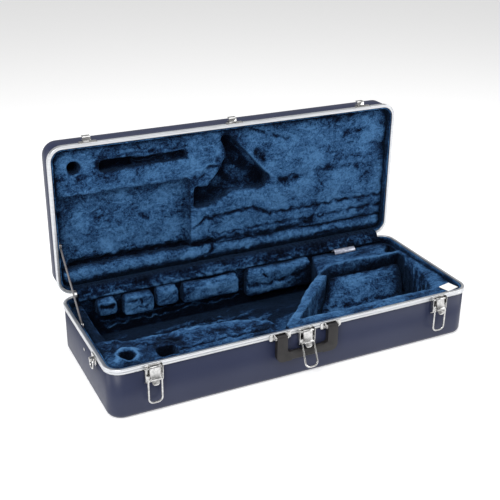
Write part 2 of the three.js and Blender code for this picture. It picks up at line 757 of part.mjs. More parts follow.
function handle() {
  const { y, z } = HANDLE_PIVOT;
  const shape = new THREE.Shape();
  const outerR = 13;
  const innerR = 6;
  shape.moveTo(-ARM_OUT, z);
  shape.lineTo(-ARM_OUT, GRIP_LOW + outerR);
  shape.absarc(-ARM_OUT + outerR, GRIP_LOW + outerR, outerR, Math.PI, 1.5 * Math.PI);
  shape.lineTo(ARM_OUT - outerR, GRIP_LOW);
  shape.absarc(ARM_OUT - outerR, GRIP_LOW + outerR, outerR, -Math.PI / 2, 0);
  shape.lineTo(ARM_OUT, z);
  shape.lineTo(ARM_IN, z);
  shape.lineTo(ARM_IN, GRIP_TOP + innerR);
  shape.absarc(ARM_IN - innerR, GRIP_TOP + innerR, innerR, 0, -Math.PI / 2, true);
  shape.lineTo(-ARM_IN + innerR, GRIP_TOP);
  shape.absarc(-ARM_IN + innerR, GRIP_TOP + innerR, innerR, -Math.PI / 2, -Math.PI, true);
  shape.lineTo(-ARM_IN, z);
  const bow = prismY(shape, y - GRIP_T / 2, y + GRIP_T / 2, 6);
  const ends = [-1, 1].map((side) => {
    const x = [side * ARM_IN, side * ARM_OUT].sort((a, b) => a - b);
    return rodX(GRIP_T / 2, x[0], x[1], y, z, 20);
  });
  const bore = rodX(2.35, -ARM_OUT - 1, ARM_OUT + 1, y, z, 16);
  const chamfer = 2.6;
  const edges = [];
  [[-1, GRIP_LOW], [1, GRIP_TOP]].forEach(([up, edgeZ]) => {
    [-1, 1].forEach((out) => {
      const edgeY = y + (out * GRIP_T) / 2;
      const corner = [
        [edgeY + out, edgeZ + up],
        [edgeY + out, edgeZ - up * chamfer],
        [edgeY, edgeZ - up * chamfer],
        [edgeY - out * chamfer, edgeZ],
        [edgeY - out * chamfer, edgeZ + up],
      ];
      const outline = up * out > 0 ? corner.reverse() : corner;
      edges.push(prismX(outline, -ARM_IN + innerR + 4, ARM_IN - innerR - 4));
    });
  });
  return cut(join(bow, ...ends), bore, ...edges);
}
place(base, "handle", handle(), HANDLE);

// One bracket holds both sides of an arm: a riveted plate with two ears.
function handleBracket() {
  const { y, z } = HANDLE_PIVOT;
  const half = 23;
  const mid = (ARM_IN + ARM_OUT) / 2;
  const earT = 2;
  const armHalf = (ARM_OUT - ARM_IN) / 2 + 0.6;
  const plate = prismY(roundedOutline(-half, half, 92, 105.5, 3), PLATE_Y - PLATE_T, PLATE_Y);
  const back = PLATE_Y - PLATE_T / 2;
  const ear = new THREE.Shape();
  ear.moveTo(back, z - 5.5);
  ear.lineTo(y, z - 4.2);
  ear.absarc(y, z, 4.2, 1.5 * Math.PI, Math.PI / 2, true);
  ear.lineTo(back, z + 5.5);
  const ears = [-1, 1].map((side) => {
    const inner = side * armHalf;
    const outer = side * (armHalf + earT);
    return prismX(ear, Math.min(inner, outer), Math.max(inner, outer));
  });
  const bore = rodX(2.3, -half, half, y, z, 12);
  return { geometry: cut(join(plate, ...ears), bore), mid };
}

function handlePin() {
  const { y, z } = HANDLE_PIVOT;
  const reach = (ARM_OUT - ARM_IN) / 2 + 0.6 + 2;
  const heads = [-1, 1].map((side) => {
    const x0 = side > 0 ? reach + GAP : -reach - GAP - 1.2;
    return rodX(3.2, x0, x0 + 1.2, y, z, 12);
  });
  return join(rodX(1.95, -reach - 1, reach + 1, y, z, 12), ...heads);
}

[["left", -1], ["right", 1]].forEach(([side, sign]) => {
  const { geometry, mid } = handleBracket();
  place(base, `handle_bracket_${side}`, geometry, CHROME).position.x = sign * mid;
  place(base, `handle_pin_${side}`, handlePin(), CHROME).position.x = sign * mid;
});

// ---- carrying rings on the ends -----------------------------------------------------------------
const RING_Y = -76;
const RING_Z = 92;
const RING_OUT = 5.6; // ring's bar, out from the rim's face
const RING_WIRE = 1.7;

// A plate with a raised eye that the ring's bar passes through. Drawn for the right end.
function ringBracket() {
  const face = LENGTH / 2 + GAP;
  const eyeHalf = 5;
  const sheet = prismX(roundedOutline(-14, 14, RING_Z - 9, RING_Z + 9, 4), face, face + PLATE_T);
  const eyeR = RING_WIRE + 2;
  const eye = new THREE.CylinderGeometry(eyeR, eyeR, 2 * eyeHalf, 12);
  eye.translate(face + RING_OUT, 0, RING_Z);
  const neck = box(face + 0.4, face + RING_OUT, -eyeHalf, eyeHalf, RING_Z - 2.6, RING_Z + 2.6);
  const bore = new THREE.CylinderGeometry(RING_WIRE + 0.45, RING_WIRE + 0.45, 30, 10);
  bore.translate(face + RING_OUT, 0, RING_Z);
  return cut(join(sheet, eye, neck), bore);
}

[["left", -1], ["right", 1]].forEach(([side, sign]) => {
  const turn = sign < 0 ? Math.PI : 0;
  const bracket = place(base, `ring_bracket_${side}`, ringBracket(), CHROME);
  bracket.rotation.z = turn;
  bracket.position.y = RING_Y;
  const ring = place(base, `ring_${side}`, wireLink(10, 17, 3.5, 8, RING_WIRE), CHROME);
  ring.rotation.z = Math.PI / 2;
  ring.position.set(sign * (LENGTH / 2 + GAP + RING_OUT), RING_Y, RING_Z);
});

// A rivet head shows low on the left end, beside the ring.
function endRivet() {
  const face = -LENGTH / 2 + SHELL_IN - GAP;
  return rodX(3.4, face - 1.2, face, -5, 73, 14);
}
place(base, "end_rivet_left", endRivet(), CHROME);

export default hardCase;
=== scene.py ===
"""Looks for the open instrument case: plush over foam, moulded shells, metal rims and plated fittings.

Metres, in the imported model's frame: +X to the right, -Y to the front, +Z up. Lid pieces are drawn with
the lid shut and then turned back about the hinge.
"""

import json
import math

import bpy
import numpy as np
from mathutils import Matrix, Vector


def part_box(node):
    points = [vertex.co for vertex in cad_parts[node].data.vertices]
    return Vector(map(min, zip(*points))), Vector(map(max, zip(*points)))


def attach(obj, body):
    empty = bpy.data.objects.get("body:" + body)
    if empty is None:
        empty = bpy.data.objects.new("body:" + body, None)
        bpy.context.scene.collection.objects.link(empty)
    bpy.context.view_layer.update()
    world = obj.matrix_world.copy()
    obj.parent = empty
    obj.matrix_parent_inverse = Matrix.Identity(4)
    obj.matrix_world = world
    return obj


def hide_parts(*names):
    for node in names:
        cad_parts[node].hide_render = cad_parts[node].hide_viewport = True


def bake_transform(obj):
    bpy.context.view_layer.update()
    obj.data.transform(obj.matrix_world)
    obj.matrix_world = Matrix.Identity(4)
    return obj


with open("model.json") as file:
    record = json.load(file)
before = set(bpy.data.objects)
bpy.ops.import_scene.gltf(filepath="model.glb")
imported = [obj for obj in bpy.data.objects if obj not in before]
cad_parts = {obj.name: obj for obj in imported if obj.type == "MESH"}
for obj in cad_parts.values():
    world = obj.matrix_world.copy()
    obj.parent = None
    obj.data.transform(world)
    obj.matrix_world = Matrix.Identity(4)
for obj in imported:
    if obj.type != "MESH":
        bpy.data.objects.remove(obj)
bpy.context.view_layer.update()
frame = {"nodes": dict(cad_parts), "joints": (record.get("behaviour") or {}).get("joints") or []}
nodes = frame["nodes"]
scene = bpy.context.scene
MM = 0.001

# ---- sizes from the frame ----------------------------------------------------------------------
rim_low, rim_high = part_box("base_rim")
HALF_LENGTH = rim_high.x
HALF_WIDTH = rim_high.y
BASE_TOP = rim_high.z
RIM_HEIGHT = rim_high.z - rim_low.z
RIM_WIDTH = 6.5 * MM
CORNER = 31 * MM  # plan radius of the rims
GAP = 0.3 * MM
SHELL_INSET = 2 * MM  # the shell stands this far inside the rim's face
SHELL_THICK = 3 * MM
EDGE_RADIUS = 11 * MM
LINING_INSET = RIM_WIDTH + GAP
LINING_THICK = 3.2 * MM
FLOOR_THICK = 4 * MM

hinge = Vector(frame["joints"][0]["pos_m"])
LID_UNDER = BASE_TOP + GAP  # underside of the lid's rim when shut
LID_TOP = LID_UNDER + 60 * MM
OPENED = Matrix.Translation(hinge) @ Matrix.Rotation(-math.pi / 2, 4, "X") @ Matrix.Translation(-hinge)
SHUT = OPENED.inverted()


# ---- mesh helpers --------------------------------------------------------------------------------
def mesh_object(name, points, faces):
    mesh = bpy.data.meshes.new(name)
    mesh.from_pydata([tuple(p) for p in points], [], faces)
    mesh.update()
    mesh.polygons.foreach_set("use_smooth", [True] * len(mesh.polygons))
    piece = bpy.data.objects.new(name, mesh)
    scene.collection.objects.link(piece)
    return piece


def loft(name, rings, closed=False):
    """Rings of points with the same count, joined one to the next; an open loft is capped at both ends."""
    count = len(rings[0])
    points = np.concatenate(rings)
    faces = []
    bands = len(rings) if closed else len(rings) - 1
    for r in range(bands):
        low = r * count
        high = ((r + 1) % len(rings)) * count
        for i in range(count):
            j = (i + 1) % count
            faces.append((low + i, low + j, high + j, high + i))
    if not closed:
        last = (len(rings) - 1) * count
        faces.append(tuple(reversed(range(count))))
        faces.append(tuple(last + i for i in range(count)))
    return mesh_object(name, points, faces)


def plan_ring(inset, z, along=56, across=22, corner=8):
    """The case's plan outline, drawn in from the rim's face by an inset, with points all along its sides."""
    radius = max(CORNER - inset, 1 * MM)
    half_x = HALF_LENGTH - inset - radius
    half_y = HALF_WIDTH - inset - radius
    ring = []
    corners = [(1, 1), (-1, 1), (-1, -1), (1, -1)]
    for quarter, (sx, sy) in enumerate(corners):
        for i in range(corner + 1):
            turn = (quarter + i / corner) * math.pi / 2
            ring.append((sx * half_x + radius * math.cos(turn), sy * half_y + radius * math.sin(turn), z))
        steps = along if quarter % 2 == 0 else across
        nx, ny = corners[(quarter + 1) % 4]
        turn = (quarter + 1) * math.pi / 2
        start = np.array(ring[-1])
        end = np.array((nx * half_x + radius * math.cos(turn), ny * half_y + radius * math.sin(turn), z))
        for i in range(1, steps):
            ring.append(tuple(start + (end - start) * i / steps))
    return np.array(ring)


def coords(thing):
    found = np.empty(len(thing.data.vertices) * 3)
    thing.data.vertices.foreach_get("co", found)
    return found.reshape(-1, 3)


def set_coords(piece, points):
    piece.data.vertices.foreach_set("co", points.ravel())
    piece.data.update()


def normals(piece):
    found = np.empty(len(piece.data.vertices) * 3)
    piece.data.vertices.foreach_get("normal", found)
    return found.reshape(-1, 3)


def bake_modifiers(piece):
    """Replaces the mesh by what its modifiers make of it."""
    bpy.context.view_layer.update()
    graph = bpy.context.evaluated_depsgraph_get()
    made = bpy.data.meshes.new_from_object(piece.evaluated_get(graph))
    made.polygons.foreach_set("use_smooth", [True] * len(made.polygons))
    piece.modifiers.clear()
    piece.data = made
    return piece


def turn_back(piece):
    """Takes a piece drawn with the lid shut to where it is with the lid open."""
    piece.data.transform(OPENED)
    piece.data.update()
    return piece


# ---- materials ---------------------------------------------------------------------------------------
class Look:
    """A node material with a Principled shader, built step by step."""

    def __init__(self, name, **sockets):
        self.material = bpy.data.materials.new(name)
        self.material.use_nodes = True
        self.tree = self.material.node_tree
        self.shader = self.tree.nodes["Principled BSDF"]
        for socket, value in sockets.items():
            self.shader.inputs[socket.replace("_", " ")].default_value = value
        self.place = self.tree.nodes.new("ShaderNodeTexCoord").outputs["Object"]

    def node(self, kind, inputs=(), **settings):
        made = self.tree.nodes.new("ShaderNode" + kind)
        for key, value in settings.items():
            setattr(made, key, value)
        for key, value in dict(inputs).items():
            if isinstance(value, bpy.types.NodeSocket):
                self.tree.links.new(value, made.inputs[key])
            else:
                made.inputs[key].default_value = value
        return made

    def noise(self, scale, detail=3.0, rough=0.55, warp=0.0, stretch=None):
        vector = self.place
        if stretch:
            vector = self.node("Mapping", {"Vector": self.place, "Scale": stretch}).outputs["Vector"]
        values = {"Vector": vector, "Scale": scale, "Detail": detail, "Roughness": rough, "Distortion": warp}
        return self.node("TexNoise", values).outputs["Fac"]

    def math(self, operation, a, b):
        made = self.node("Math", operation=operation)
        for socket, value in zip(made.inputs, (a, b)):
            if isinstance(value, bpy.types.NodeSocket):
                self.tree.links.new(value, socket)
            else:
                socket.default_value = value
        return made.outputs["Value"]

    def ramp(self, factor, stops):
        made = self.node("ValToRGB", {"Fac": factor})
        ramp = made.color_ramp
        while len(ramp.elements) < len(stops):
            ramp.elements.new(0.5)
        for element, (at, color) in zip(ramp.elements, stops):
            element.position = at
            element.color = (*color, 1)
        return made.outputs["Color"]

    def level(self, factor, low, high):
        """Spreads a 0 to 1 factor between two values."""
        values = {"Value": factor, "To Min": low, "To Max": high}
        return self.node("MapRange", values).outputs["Result"]

    def feed(self, socket, value):
        self.tree.links.new(value, self.shader.inputs[socket])

    def bump(self, height, strength, distance):
        values = {"Height": height, "Strength": strength, "Distance": distance}
        self.feed("Normal", self.node("Bump", values).outputs["Normal"])


def plush_look(name, painted_shade_scale=1.0):
    """Short pile: random patches where the pile lies light or dark, brushed streaks and fine tufts, with painted
    shade in crevices and the painted light and shade that each piece's marks carry.
    """
    look = Look(
        name,
        Roughness=1.0,
        Sheen_Weight=0.12,
        Sheen_Roughness=0.4,
        Sheen_Tint=(0.16, 0.4, 0.9, 1),
        Specular_IOR_Level=0.04,
    )
    patches = look.noise(13, 3, 0.6, 0.6)
    brushed = look.noise(46, 5, 0.75, 1.4, stretch=(0.7, 1.2, 1.2))
    clumps = look.noise(190, 3, 0.75, 0.8)
    tufts = look.noise(480, 2, 0.6, 0.6)
    # this attribute holds random nap tone plus painted light: painted shade in dents and recesses, painted
    # highlights on crests
    nap_and_painted_light = look.node("Attribute", attribute_name="nap_and_painted_light").outputs["Fac"]
    # painted shade: ambient occlusion darkens the base colour in crevices and deep recesses, where shade falls
    crevice_painted_shade = look.node("AmbientOcclusion", {"Distance": 55 * MM}, samples=6).outputs["AO"]
    parts = [(patches, 0.42), (brushed, 0.85), (clumps, 0.7), (tufts, 0.3), (nap_and_painted_light, 0.4), (crevice_painted_shade, 0.7)]
    value = look.math("ADD", -1.2, 0)
    for part, share in parts:
        value = look.math("ADD", value, look.math("MULTIPLY", part, share))
    stops = [
        (0.28, (0.0006, 0.0012, 0.004)),
        (0.42, (0.003, 0.009, 0.029)),
        (0.52, (0.014, 0.044, 0.112)),
        (0.64, (0.033, 0.098, 0.22)),
        (0.82, (0.07, 0.18, 0.36)),
    ]
    # the scale darkens every colour, for a copy of the plush painted into shade
    look.feed("Base Color", look.ramp(value, [(at, tuple(painted_shade_scale * c for c in color)) for at, color in stops]))
    pile = look.math("ADD", look.math("MULTIPLY", clumps, 1.0), tufts)
    look.bump(pile, 0.9, 3.0 * MM)
    return look.material


def shell_look():
    """Moulded plastic with a satin face: fine grain and faint clouding."""
    look = Look("shell_plastic", Specular_IOR_Level=0.32, Coat_Weight=0.06, Coat_Roughness=0.3)
    clouds = look.noise(7, 3, 0.5)
    look.feed("Base Color", look.ramp(clouds, [(0.3, (0.014, 0.019, 0.049)), (0.75, (0.02, 0.026, 0.06))]))
    look.feed("Roughness", look.level(look.noise(60, 4), 0.36, 0.48))
    look.bump(look.noise(1500, 2), 0.12, 0.2 * MM)
    return look.material


def rim_look():
    """Satin anodised extrusion, drawn along its length, with a few dull patches."""
    look = Look("rim_metal", Metallic=0.9)
    drawn = look.noise(260, 3, 0.6, stretch=(0.05, 0.05, 1))
    look.feed("Base Color", look.ramp(drawn, [(0.2, (0.5, 0.52, 0.55)), (0.8, (0.68, 0.69, 0.71))]))
    look.feed("Roughness", look.level(look.noise(35, 4), 0.26, 0.42))
    look.bump(drawn, 0.08, 0.2 * MM)
    return look.material


def chrome_look():
    """Bright plating over pressed steel, rubbed duller in places."""
    look = Look("plated_steel", Metallic=1.0)
    rubbed = look.noise(180, 4, 0.65)
    look.feed("Base Color", look.ramp(rubbed, [(0.3, (0.3, 0.3, 0.3)), (0.6, (0.56, 0.555, 0.55))]))
    look.feed("Roughness", look.level(rubbed, 0.08, 0.26))
    look.bump(look.noise(500, 2), 0.06, 0.2 * MM)
    return look.material


def handle_look():
    """Near-black moulded plastic with a leathery grain, paler where hands rub it."""
    look = Look("handle_plastic", Specular_IOR_Level=0.3)
    grain = look.noise(700, 3, 0.6)
    wear = look.noise(50, 4, 0.6)
    look.feed("Base Color", look.ramp(wear, [(0.35, (0.008, 0.0075, 0.008)), (0.75, (0.02, 0.018, 0.019))]))
    look.feed("Roughness", look.level(wear, 0.34, 0.52))
    look.bump(grain, 0.25, 0.3 * MM)
    return look.material


def webbing_look():
    """Woven tape: bars across it and finer threads along it."""
    look = Look("webbing", Roughness=0.8, Sheen_Weight=0.2)
    bars = look.node(
        "TexWave", {"Vector": look.place, "Scale": 200, "Distortion": 0.6}, bands_direction="DIAGONAL"
    ).outputs["Fac"]
    fibres = look.noise(900, 2)
    mixed = look.math("ADD", look.math("MULTIPLY", bars, 0.6), look.math("MULTIPLY", fibres, 0.4))
    look.feed("Base Color", look.ramp(mixed, [(0.25, (0.022, 0.02, 0.022)), (0.75, (0.1, 0.09, 0.1))]))
    look.bump(mixed, 0.5, 0.4 * MM)
    return look.material


def card_look():
    """Blank card with a faint fibre."""
    look = Look("card", Roughness=0.7)
    fibre = look.noise(400, 4, 0.7)
    look.feed("Base Color", look.ramp(fibre, [(0.2, (0.8, 0.8, 0.78)), (0.8, (0.93, 0.93, 0.92))]))
    look.bump(fibre, 0.1, 0.1 * MM)
    return look.material


def film_look():
    """Silvery film with soft crumples."""
    look = Look("film", Roughness=0.25, Metallic=0.3, Coat_Weight=0.5)
    crumple = look.noise(90, 3, 0.5, 0.8)
    look.feed("Base Color", look.ramp(crumple, [(0.3, (0.2, 0.22, 0.29)), (0.7, (0.42, 0.44, 0.52))]))
    look.bump(crumple, 0.5, 0.6 * MM)
    return look.material


PLUSH = plush_look("plush")
# a darker copy of the plush: painted shade for the strip in the hinge gap
PLUSH_STRIP_SHADED = plush_look("plush_strip", 0.9)
SHELL = shell_look()
RIM = rim_look()
CHROME = chrome_look()
HANDLE = handle_look()
WEBBING = webbing_look()
CARD = card_look()
FILM = film_look()


def dress(thing, material):
    thing.data.materials.clear()
    thing.data.materials.append(material)


def add(piece, body, slot, material, *stands_for):
    dress(piece, material)
    if body:
        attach(piece, body)
    if stands_for:
        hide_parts(*stands_for)
    return piece


# ---- marks in the plush ------------------------------------------------------------------------------
# A stroke is a bent line on a face: its points in mm, half width in mm, how far it sinks in mm (less
# than nothing stands up), and the light painted there for how the pile catches it, from -1 painted shade to 1
# painted highlight.
def stroke_weight(flat, points, half_width):
    path = np.array(points, float) * MM
    nearest = np.full(len(flat), 1e9)
    for a, b in zip(path[:-1], path[1:]):
        run = b - a
        t = np.clip(((flat - a) @ run) / max(run @ run, 1e-12), 0, 1)
        nearest = np.minimum(nearest, np.linalg.norm(flat - (a + t[:, None] * run), axis=1))
    return np.exp(-((nearest / (half_width * MM)) ** 2))


def lumps(points, size, seed):
    """A smooth random field, about -1 to 1, whose bumps are about size metres across."""
    random = np.random.default_rng(seed)
    total = np.zeros(len(points))
    waves = 10
    for _ in range(waves):
        direction = random.normal(size=3)
        direction /= np.linalg.norm(direction)
        length = size * random.uniform(1.4, 2.8)
        total += np.sin(points @ direction * 2 * math.pi / length + random.uniform(0, 2 * math.pi))
    return total / math.sqrt(waves)


VIEWS = {
    # name: (axes of the flat view, the direction that the face looks)
    "top": ((0, 1), (0, 0, 1)),
    "front": ((0, 2), (0, -1, 0)),
    "left": ((1, 2), (-1, 0, 0)),
}


def work_plush(piece, seed, strokes=(), lump=1.0, painted_light_offset=0.0, shut=False):
    """Gives plush its lumps, dents and folds, and a vertex attribute of random nap tone plus painted light: painted
    shade in the strokes' dents and recesses and painted highlights on their crests and lines, starting from an
    offset of painted light for the whole piece (below nothing, painted shade).

    Lid pieces are worked as if shut.
    """
    points = coords(piece)
    facing = normals(piece)
    if shut:
        turn = np.array(SHUT)
        points = points @ turn[:3, :3].T + turn[:3, 3]
        facing = facing @ turn[:3, :3].T
    wobble = 0.7 * lumps(points, 26 * MM, seed) + 0.4 * lumps(points, 9 * MM, seed + 1)
    moved = points + facing * (wobble * 1.1 * lump * MM)[:, None]
    # starts from the piece's offset of painted light; pieces given one below nothing start in painted shade
    nap_and_painted_light = painted_light_offset + 0.15 * lumps(points, 34 * MM, seed + 2)
    ragged = 0.35 + 0.65 * np.clip(lumps(points, 12 * MM, seed + 3) + 0.6, 0, 1)
    drift = lumps(points, 11 * MM, seed + 4) * 2.4 * MM
    for view, line, half_width, sink, painted_light_amount in strokes:
        axes, look = VIEWS[view]
        look = np.array(look, float)
        if shut:
            look = np.array((0, 0, -1.0))
        weight = stroke_weight(points[:, axes] + drift[:, None], line, half_width)
        toward = np.clip(facing @ look, 0, 1)
        moved -= look * (weight * toward * sink * MM)[:, None]
        # adds the stroke's painted light: below nothing painted shade, above nothing painted highlight
        nap_and_painted_light += weight * toward * painted_light_amount * ragged
    if shut:
        turn = np.array(OPENED)
        moved = moved @ turn[:3, :3].T + turn[:3, 3]
    set_coords(piece, moved)
    attribute = piece.data.attributes.new("nap_and_painted_light", "FLOAT", "POINT")
    attribute.data.foreach_set("value", np.clip(nap_and_painted_light, -1.2, 1.2).astype(np.float32))
    return piece


# ---- soft pieces made from the CAD's blocks -------------------------------------------------------
def soft_block(name, sources, voxel=4.0, rounds=6, grow=0.0):
    """One even mesh over one or more CAD blocks, with its edges softened."""
    points = []
    faces = []
    for node in sources:
        data = nodes[node].data
        offset = len(points)
        points += [v.co.copy() for v in data.vertices]
        faces += [tuple(offset + i for i in face.vertices) for face in data.polygons]
    piece = mesh_object(name, points, faces)
    weld = piece.modifiers.new("weld", "WELD")
    weld.merge_threshold = 0.02 * MM
    if grow:
        push = piece.modifiers.new("grow", "DISPLACE")
        push.mid_level = 0
        push.strength = grow * MM
    remesh = piece.modifiers.new("even", "REMESH")
    remesh.mode = "VOXEL"
    remesh.voxel_size = voxel * MM
    smooth = piece.modifiers.new("soften", "SMOOTH")
    smooth.factor = 0.5
    smooth.iterations = rounds
    return bake_modifiers(piece)


def swell(pieces, cap):
    """Blows the pads up a little as cloth, all at once, and keeps each point within cap of its start."""
    rest = {}
    for piece in pieces:
        rest[piece.name] = coords(piece)
        cloth = piece.modifiers.new("swell", "CLOTH")
        cloth.settings.quality = 4
        cloth.settings.use_pressure = True
        cloth.settings.uniform_pressure_force = 4
        cloth.settings.effector_weights.gravity = 0
        cloth.point_cache.frame_end = 20
    for number in range(1, 21):
        scene.frame_set(number)
    graph = bpy.context.evaluated_depsgraph_get()
    for piece in pieces:
        blown = coords(piece.evaluated_get(graph))
        step = blown - rest[piece.name]
        far = np.linalg.norm(step, axis=1, keepdims=True)
        piece.modifiers.clear()
        set_coords(piece, rest[piece.name] + step * np.minimum(1, cap * MM / np.maximum(far, 1e-9)))
    scene.frame_set(1)


def refine(piece):
    smoother = piece.modifiers.new("refine", "SUBSURF")
    smoother.levels = 1
    smoother.render_levels = 1
    return bake_modifiers(piece)


# ---- shells and rims ----------------------------------------------------------------------------------
def shell_tray(name, height):
    rings = []
    steps = 8
    for i in range(steps + 1):
        turn = i / steps * math.pi / 2
        rings.append(plan_ring(SHELL_INSET + EDGE_RADIUS * (1 - math.sin(turn)), EDGE_RADIUS * (1 - math.cos(turn))))
    rings.append(plan_ring(SHELL_INSET, height))
    inner = SHELL_INSET + SHELL_THICK
    rings.append(plan_ring(inner, height))
    inner_radius = EDGE_RADIUS - SHELL_THICK
    for i in range(steps + 1):
        turn = (1 - i / steps) * math.pi / 2
        inset = inner + inner_radius * (1 - math.sin(turn))
        rings.append(plan_ring(inset, SHELL_THICK + inner_radius * (1 - math.cos(turn))))
    return loft(name, rings)


def rim_loop(name):
    """The extrusion's section, in inset and height below its top face, run round the plan."""
    line = -5.2
    section = [
        (0, -10), (0, line - 0.6), (0.5, line - 0.25), (0.5, line + 0.25), (0, line + 0.6), (0, -1.8),
        (0.15, -1.0), (0.5, -0.45), (1.05, -0.12), (1.7, 0), (5.5, 0), (6.1, -0.12), (6.4, -0.4), (6.5, -1.0),
        (6.5, -10), (5.3, -10), (5.3, -3), (1.7, -3), (1.7, -10),
    ]
    return loft(name, [plan_ring(inset * MM, z * MM) for inset, z in section], closed=True)


def flip_to_lid(piece, height):
    """Takes a base-like tray to the lid: upside down, then up to a height, then turned back."""
    piece.data.transform(Matrix.Translation((0, 0, height)) @ Matrix.Rotation(math.pi, 4, "X"))
    return turn_back(piece)


base_shell = shell_tray("base_shell_skin", BASE_TOP - 3.3 * MM)
add(base_shell, "base", "shell_plastic", SHELL, "base_shell")
base_rim = rim_loop("base_rim_skin")
base_rim.data.transform(Matrix.Translation((0, 0, BASE_TOP)))
add(base_rim, "base", "rim_metal", RIM, "base_rim")
lid_shell = flip_to_lid(shell_tray("lid_shell_skin", 56.7 * MM), LID_TOP)
add(lid_shell, "lid", "shell_plastic", SHELL, "lid_shell")
lid_rim = flip_to_lid(rim_loop("lid_rim_skin"), LID_UNDER)
add(lid_rim, "lid", "rim_metal", RIM, "lid_rim")


# ---- lining ------------------------------------------------------------------------------------------
def lining_tray(name, height):
    def ring(inset, z):
        return plan_ring(inset, z, along=220, across=60, corner=10)

    foot = EDGE_RADIUS + 1 * MM
    edge = 3 * MM
    inner = LINING_INSET + LINING_THICK
    rings = [
        ring(foot, 0),
        ring(LINING_INSET, foot - LINING_INSET + edge),
        ring(LINING_INSET, height - 1 * MM),
        ring(LINING_INSET + 1 * MM, height),
        ring(inner - 1 * MM, height),
    ]
    wall_steps = 34
    for i in range(wall_steps + 1):
        t = i / wall_steps
        rings.append(ring(inner, (height - 1 * MM) * (1 - t) + (FLOOR_THICK + edge) * t))
    rings.append(ring(inner + 0.3 * edge, FLOOR_THICK + 0.3 * edge))
    floor_steps = 36
    for i in range(floor_steps + 1):
        t = i / floor_steps
        rings.append(ring((inner + edge) * (1 - t) + (HALF_WIDTH - 2 * MM) * t, FLOOR_THICK))
    return loft(name, rings)


# Folds in the floor, and painted shade: the first two strokes sink nothing and only paint the deep floor dark where
# shade falls; the raised folds get painted highlights on their crests.
FLOOR_FOLDS_AND_SHADE = [
    ("top", [(-340, 80), (-120, 92), (90, 100)], 70, 0, -1.25),
    ("front", [(-330, 30), (-120, 32), (80, 30)], 30, 0, -1.1),
    ("top", [(-340, 60), (-270, 84), (-200, 76), (-130, 92), (-60, 84), (0, 95)], 3.5, -7, 1.5),
    ("top", [(-320, 30), (-250, 48), (-190, 40), (-120, 60), (-50, 50), (20, 66)], 3.5, -7, 1.4),
    ("top", [(-300, 5), (-240, 18), (-170, 8), (-90, 26), (-20, 10)], 3.5, -6, 1.3),
    ("top", [(-210, 100), (-140, 112), (-60, 104)], 3, -6, 1.4),
    ("front", [(-300, 22), (-240, 30), (-170, 24), (-110, 33), (-50, 27), (0, 34)], 2.6, -4, 1.6),
    ("front", [(-320, 40), (-260, 34), (-180, 42), (-90, 38), (20, 46)], 2.6, -3, 1.1),
]
base_lining = lining_tray("base_lining_plush", 101.2 * MM)
base_lining.data.transform(Matrix.Translation((0, 0, SHELL_THICK + GAP)))
work_plush(base_lining, 11, FLOOR_FOLDS_AND_SHADE, 0.6)
add(base_lining, "base", "plush", PLUSH, "base_lining")

lid_lining = flip_to_lid(lining_tray("lid_lining_plush", 55.2 * MM), LID_TOP - SHELL_THICK - GAP)
work_plush(lid_lining, 21, (), 0.6, shut=True)
add(lid_lining, "lid", "plush", PLUSH, "lid_lining")


# ---- pads in the base -------------------------------------------------------------------------------
def ring_of(x, y, radius, count=14):
    turns = [2 * math.pi * i / count for i in range(count + 1)]
    return [(x + radius * math.cos(t), y + radius * math.sin(t)) for t in turns]


CREST = [(-20, -116), (31, -63), (79, -12), (116, 26), (150, 56), (196, 84), (257, 90), (319, 82), (384, 82)]
# Marks on the accessory block: dents painted darker as painted shade, raised rings and ridges painted lighter as
# painted highlight, and the last three strokes only painted shade.
BLOCK_MARKS = [
    ("top", [(-240, -116), (-150, -113), (-60, -117)], 2.5, 2.2, -0.7),
    ("top", ring_of(-340, -98, 21), 4.5, -3.5, 1.1),
    ("top", [(-350, -34), (-300, -48), (-240, -52), (-180, -55), (-100, -64), (-64, -80), (-46, -98)], 4, -1, 0.5),
    ("top", [(-215, -62), (-150, -68), (-110, -76)], 12, -3, 0.3),
    ("top", [(-258, -62), (-250, -74), (-240, -84)], 6, 3, -1.0),
    ("top", [(-300, -70), (-285, -90)], 5, 1.5, -0.6),
    ("top", [(-380, -60), (-360, -75)], 8, 1, -0.6),
    ("top", [(-120, -132), (-60, -136)], 6, 0.5, -0.5),
    ("top", [(-80, -96), (-56, -104), (-44, -122)], 5, 2, -0.6),
    ("top", [(-372, -50), (-300, -70), (-220, -84), (-150, -86), (-70, -112)], 18, 0, -0.6),
    ("top", [(-376, -130), (-300, -136), (-50, -138)], 8, 0, -0.5),
    ("front", [(-350, 60), (-60, 60)], 30, 0, -0.9),
]
# Marks on the bell surround, all carrying painted light: painted highlight along the crest, on a shallow line and on
# the raised ribs of the left end; dents painted darker as painted shade; and broad strokes that sink nothing and
# only paint shade.
SURROUND_MARKS = [
    ("top", CREST, 4.5, -1.5, 0.6),
    ("top", [(40, -112), (180, -110), (330, -111)], 3.5, 1, 0.35),
    ("top", [(190, 118), (260, 122), (330, 116)], 8, 0.5, -0.25),
    ("top", [(338, -60), (352, -10), (372, 40)], 9, 1, -0.5),
    ("left", [(-110, 50), (80, 50)], 42, 0, -1.3),
    *[("left", [(y, 16), (y + 6, 88)], 4, -2, 0.8) for y in range(-84, 60, 24)],
    ("front", [(20, 44), (150, 44)], 34, 0, -0.6),
    ("top", [(20, -136), (200, -134), (380, -138)], 12, 0, -0.35),
    ("front", [(150, 40), (380, 40)], 30, 0, -0.5),
]
